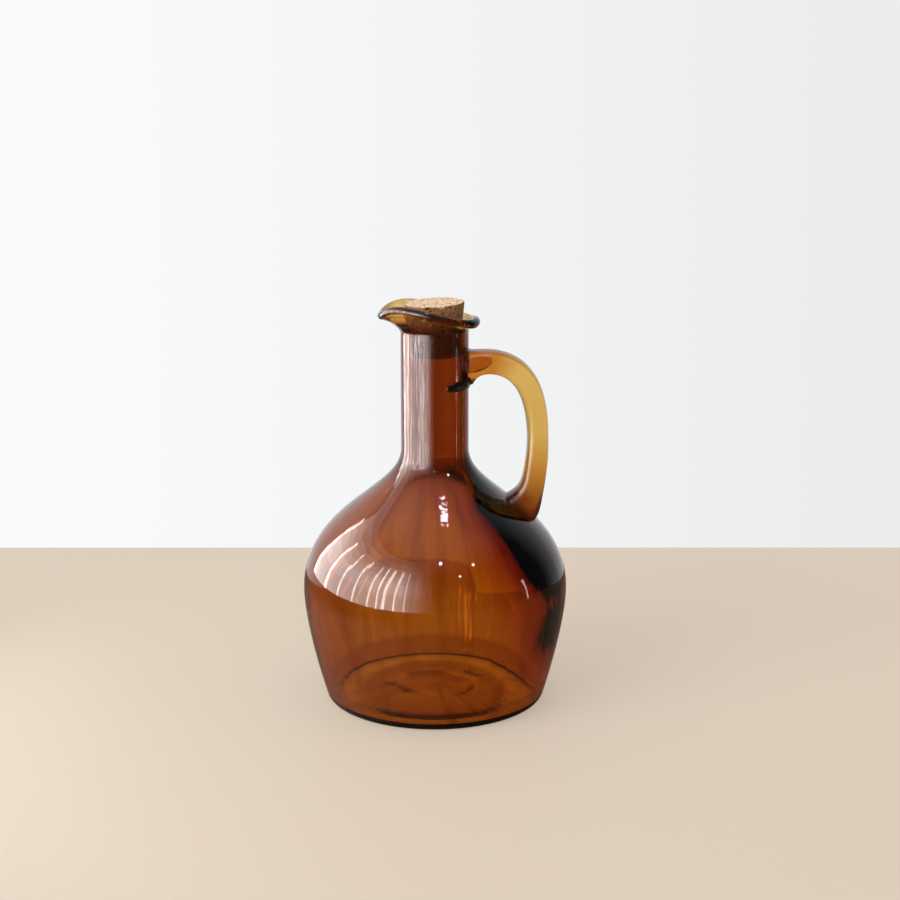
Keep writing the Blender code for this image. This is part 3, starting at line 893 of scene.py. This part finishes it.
# Where the handle was pressed on, its glass ran a little way round the neck, and the neck's own
# amber glass shows as a tongue in the honey glass.
SMEAR_ROWS = 40
RUN_THICK, RUN_BLUNT = 0.0011, 4.0
TONGUE_THICK, TONGUE_BLUNT = 0.0006, 2.4
TONGUE_FRONT = -0.00655
swing = np.radians(np.linspace(2.0, -70.0, SMEAR_ROWS))
away = np.stack([np.cos(swing), np.sin(swing), 0.0 * swing], axis=1)
run_level = np.linspace(HANDLE_TOP - 0.0080, HANDLE_TOP - 0.0094, SMEAR_ROWS)
run_tall = np.linspace(0.0034, 0.0019, SMEAR_ROWS)
run_points, run_faces = smear((NECK + 0.0002) * away + run_level[:, None] * UPRIGHT, away,
                              UPRIGHT, RUN_THICK, run_tall, RUN_BLUNT)
tongue_line = np.stack([np.linspace(NECK - 0.002, NECK + 0.0108, SMEAR_ROWS),
                        np.full(SMEAR_ROWS, TONGUE_FRONT),
                        np.linspace(HANDLE_TOP - 0.0006, HANDLE_TOP + 0.0024, SMEAR_ROWS)], axis=1)
tongue_tall = np.linspace(0.0040, 0.0032, SMEAR_ROWS)
front = np.tile(np.array([0.0, -1.0, 0.0]), (SMEAR_ROWS, 1))
tongue_points, tongue_faces = smear(tongue_line, front, UPRIGHT, TONGUE_THICK, tongue_tall,
                                    TONGUE_BLUNT)
shells = ((handle_points, handle_faces), (run_points, run_faces), (tongue_points, tongue_faces))
starts = np.cumsum([0] + [len(shell) for shell, _ in shells])
points = np.vstack([shell for shell, _ in shells])
faces = [tuple(int(start) + corner for corner in face)
         for start, (_, shell_faces) in zip(starts, shells) for face in shell_faces]
handle = mesh_object("honey_handle", points, faces)
along = handle.data.attributes.new("along", "FLOAT", "POINT")
# The run's share of 1.0 picks the painted shade at the end of the handle's colour ramp.
shares = np.concatenate([[0.0], np.repeat(0.9 * np.clip(share, 0.0, 1.0), 64), [0.9],
                         np.full(len(run_points), 1.0), np.full(len(tongue_points), 0.0)])
along.data.foreach_set("value", shares.astype(np.float32))

HONEY = (0.895, 0.700, 0.120, 1.0)
HONEY_DEPTH = 190.0
# Amber where it meets the neck, clear honey in the arch, brown towards the shoulder.
NECK_END = (0.76, 0.44, 0.18, 1.0)
# The run round the neck is near black: painted shade for the dark seen where the pad lies flat on
# the neck.
RUN_PAINTED_SHADE = (0.02, 0.01, 0.006, 1.0)
ALONG_BANDS = ((0.12, (0.76, 0.42, 0.15, 1.0)), (0.24, (1.0, 1.0, 1.0, 1.0)),
               (0.54, (0.98, 0.97, 0.97, 1.0)), (0.72, (0.72, 0.49, 0.27, 1.0)),
               (0.90, (0.27, 0.08, 0.02, 1.0)))

material, nodes, link, output = new_material("honey_glass")
shader = nodes.new("ShaderNodeBsdfPrincipled")
shader.inputs["IOR"].default_value = GLASS_IOR
shader.inputs["Transmission Weight"].default_value = 1.0
tint, _ = add_skin(nodes, link, shader, 0.004, 0.08, 0.04, 0.2)
place_along = nodes.new("ShaderNodeAttribute")
place_along.attribute_name = "along"
ends = nodes.new("ShaderNodeValToRGB")
ends.color_ramp.elements[0].position = 0.0
ends.color_ramp.elements[0].color = NECK_END
ends.color_ramp.elements[1].position = 1.0
ends.color_ramp.elements[1].color = RUN_PAINTED_SHADE
for position, color in ALONG_BANDS:
    ends.color_ramp.elements.new(position).color = color
link(place_along.outputs["Fac"], ends.inputs["Fac"])
link(multiply_colors(nodes, link, tint, ends.outputs["Color"]), shader.inputs["Base Color"])
grain = nodes.new("ShaderNodeTexNoise")
grain.inputs["Scale"].default_value = 1400.0
grain.inputs["Detail"].default_value = 2.0
link(nodes.new("ShaderNodeTexCoord").outputs["Object"], grain.inputs["Vector"])
frost = nodes.new("ShaderNodeMapRange")
frost.inputs["From Min"].default_value = 0.3
frost.inputs["From Max"].default_value = 0.7
frost.inputs["To Min"].default_value = 0.05
frost.inputs["To Max"].default_value = 0.26
link(grain.outputs["Fac"], frost.inputs["Value"])
link(frost.outputs["Result"], shader.inputs["Roughness"])
absorb = nodes.new("ShaderNodeVolumeAbsorption")
absorb.inputs["Color"].default_value = HONEY
absorb.inputs["Density"].default_value = HONEY_DEPTH
link(shader.outputs["BSDF"], output.inputs["Surface"])
link(absorb.outputs["Volume"], output.inputs["Volume"])
handle.data.materials.append(material)
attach(handle, "bottle")
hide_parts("handle")

# ---------------------------------------------------------------- cork
# A tapered stopper cut from natural cork bark, with small dark pits. Its top is painted pale as lit
# and its side darker as painted shade. It is pushed into the throat by hand and lifts straight out.
CORK_AROUND = 320
CORK_TILT = math.radians(2.9)
STAND = 0.0121
SINK = 0.0128
PIT_DEPTH = 0.0009
GRAIN_DEPTH = 0.00010
CRUMBLE = 0.0011
TOP_ROWS = 70
bottom_r, throat_r = BORE - 0.0003, THROAT - 0.0003
top_r = throat_r + 0.106 * STAND
rows = [np.stack([bottom_r * np.linspace(0.02, 0.96, 30), np.full(30, -SINK)], axis=1),
        np.stack([np.linspace(bottom_r, throat_r, 50),
                  np.linspace(-SINK + 0.0004, 0.0, 50)], axis=1),
        np.stack([np.linspace(throat_r, top_r, 60)[1:],
                  np.linspace(0.0, STAND - 0.0004, 60)[1:]], axis=1),
        np.stack([top_r * np.linspace(0.982, 0.02, TOP_ROWS), np.full(TOP_ROWS, STAND)], axis=1)]
profile = np.vstack(rows)
turn = np.arange(CORK_AROUND) * 2 * math.pi / CORK_AROUND
place = np.stack([profile[:, :1] * np.cos(turn), profile[:, :1] * np.sin(turn),
                  np.broadcast_to(profile[:, 1:], (len(profile), CORK_AROUND))], axis=2)
# Pits are where two scales of noise dip together; the rim crumbles a little all round.
small = s_rise((value_noise(place, 0.0009, 11) - 0.58) / 0.22)
large = s_rise((value_noise(place, 0.0024, 12) - 0.38) / 0.25)
pit = small * large
fine = value_noise(place, 0.00055, 13) - 0.5
edge = np.exp(-((np.hypot(place[:, :, 0], place[:, :, 1]) - top_r) ** 2
                + (place[:, :, 2] - STAND) ** 2) / CRUMBLE ** 2)
crumble = edge * s_rise((value_noise(place, 0.0019, 14) - 0.48) / 0.3) * CRUMBLE
slope = np.gradient(profile, axis=0)
inward = np.stack([-slope[:, 1], slope[:, 0]], axis=1)
inward = inward / np.linalg.norm(inward, axis=1)[:, None]
sunk = PIT_DEPTH * pit + GRAIN_DEPTH * (fine + 0.5) + crumble
moved_r = profile[:, :1] + inward[:, :1] * sunk
moved_z = profile[:, 1:] + inward[:, 1:] * sunk
x = moved_r * np.cos(turn)
y = moved_r * np.sin(turn)
z = LIP_ROOT + moved_z + np.clip(moved_z / STAND, 0.0, 1.0) * math.tan(CORK_TILT) * x
points, faces = closed_skin(np.stack([x, y, z], axis=2), (0, 0, z[0].mean()), (0, 0, z[-1].mean()))
cork = mesh_object("cork_plug", points, faces)
# The top rows take the painted light, and the side rows take the painted shade.
lit_top_rows = np.zeros(pit.shape)
lit_top_rows[-TOP_ROWS:] = 1.0
for name, values, at_pole in (("hollow", pit, 0.0), ("top", lit_top_rows, 1.0)):
    attribute = cork.data.attributes.new(name, "FLOAT", "POINT")
    given = np.concatenate([[0.0], values.ravel(), [at_pole]])
    attribute.data.foreach_set("value", given.astype(np.float32))

# The pale top and the dark side are painted light and painted shade of one cork; the veins and pits
# are its own colour.
CORK_TOP_LIT = (0.950, 0.690, 0.440, 1.0)
CORK_SIDE_SHADED = (0.300, 0.135, 0.048, 1.0)
CORK_VEIN = (0.440, 0.210, 0.075, 1.0)
CORK_PIT = (0.040, 0.016, 0.006, 1.0)

material, nodes, link, output = new_material("natural_cork")
shader = nodes.new("ShaderNodeBsdfPrincipled")


def blend_colors(a, b, amount):
    """Colour a where the amount is 0, b where it is 1, mixed in proportion between."""
    mix = nodes.new("ShaderNodeMix")
    mix.data_type = "RGBA"
    for name, value in (("A", a), ("B", b)):
        if isinstance(value, tuple):
            mix.inputs[name].default_value = value
        else:
            link(value, mix.inputs[name])
    link(amount, mix.inputs["Factor"])
    return mix.outputs["Result"]


def ramp_between(value, low, high):
    """0 at or below low, 1 at or above high, smooth between them."""
    node = nodes.new("ShaderNodeMapRange")
    node.interpolation_type = "SMOOTHSTEP"
    node.inputs["From Min"].default_value = low
    node.inputs["From Max"].default_value = high
    link(value, node.inputs["Value"])
    return node.outputs["Result"]


def cork_noise(scale, detail):
    """Noise over the cork's own coordinates, with this many grains to the metre."""
    node = nodes.new("ShaderNodeTexNoise")
    node.inputs["Scale"].default_value = scale
    node.inputs["Detail"].default_value = detail
    link(cork_place, node.inputs["Vector"])
    return node.outputs["Fac"]


cork_place = nodes.new("ShaderNodeTexCoord").outputs["Object"]
# Painted light on the top and painted shade on the side, mixed by the top attribute.
lit_top_share = nodes.new("ShaderNodeAttribute")
lit_top_share.attribute_name = "top"
lit_and_shaded_cork = blend_colors(CORK_SIDE_SHADED, CORK_TOP_LIT, lit_top_share.outputs["Fac"])
veined = blend_colors(lit_and_shaded_cork, CORK_VEIN, ramp_between(cork_noise(420.0, 4.0), 0.52, 0.70))
specked = blend_colors(veined, CORK_PIT, ramp_between(cork_noise(1200.0, 3.0), 0.585, 0.66))
pits = nodes.new("ShaderNodeAttribute")
pits.attribute_name = "hollow"
link(blend_colors(specked, CORK_PIT, ramp_between(pits.outputs["Fac"], 0.15, 0.75)),
     shader.inputs["Base Color"])
shader.inputs["Roughness"].default_value = 0.9
rough = nodes.new("ShaderNodeBump")
rough.inputs["Strength"].default_value = 1.0
rough.inputs["Distance"].default_value = 0.00012
link(cork_noise(2600.0, 3.0), rough.inputs["Height"])
link(rough.outputs["Normal"], shader.inputs["Normal"])
link(shader.outputs["BSDF"], output.inputs["Surface"])
cork.data.materials.append(material)
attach(cork, "stopper")
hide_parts("cork_stopper")
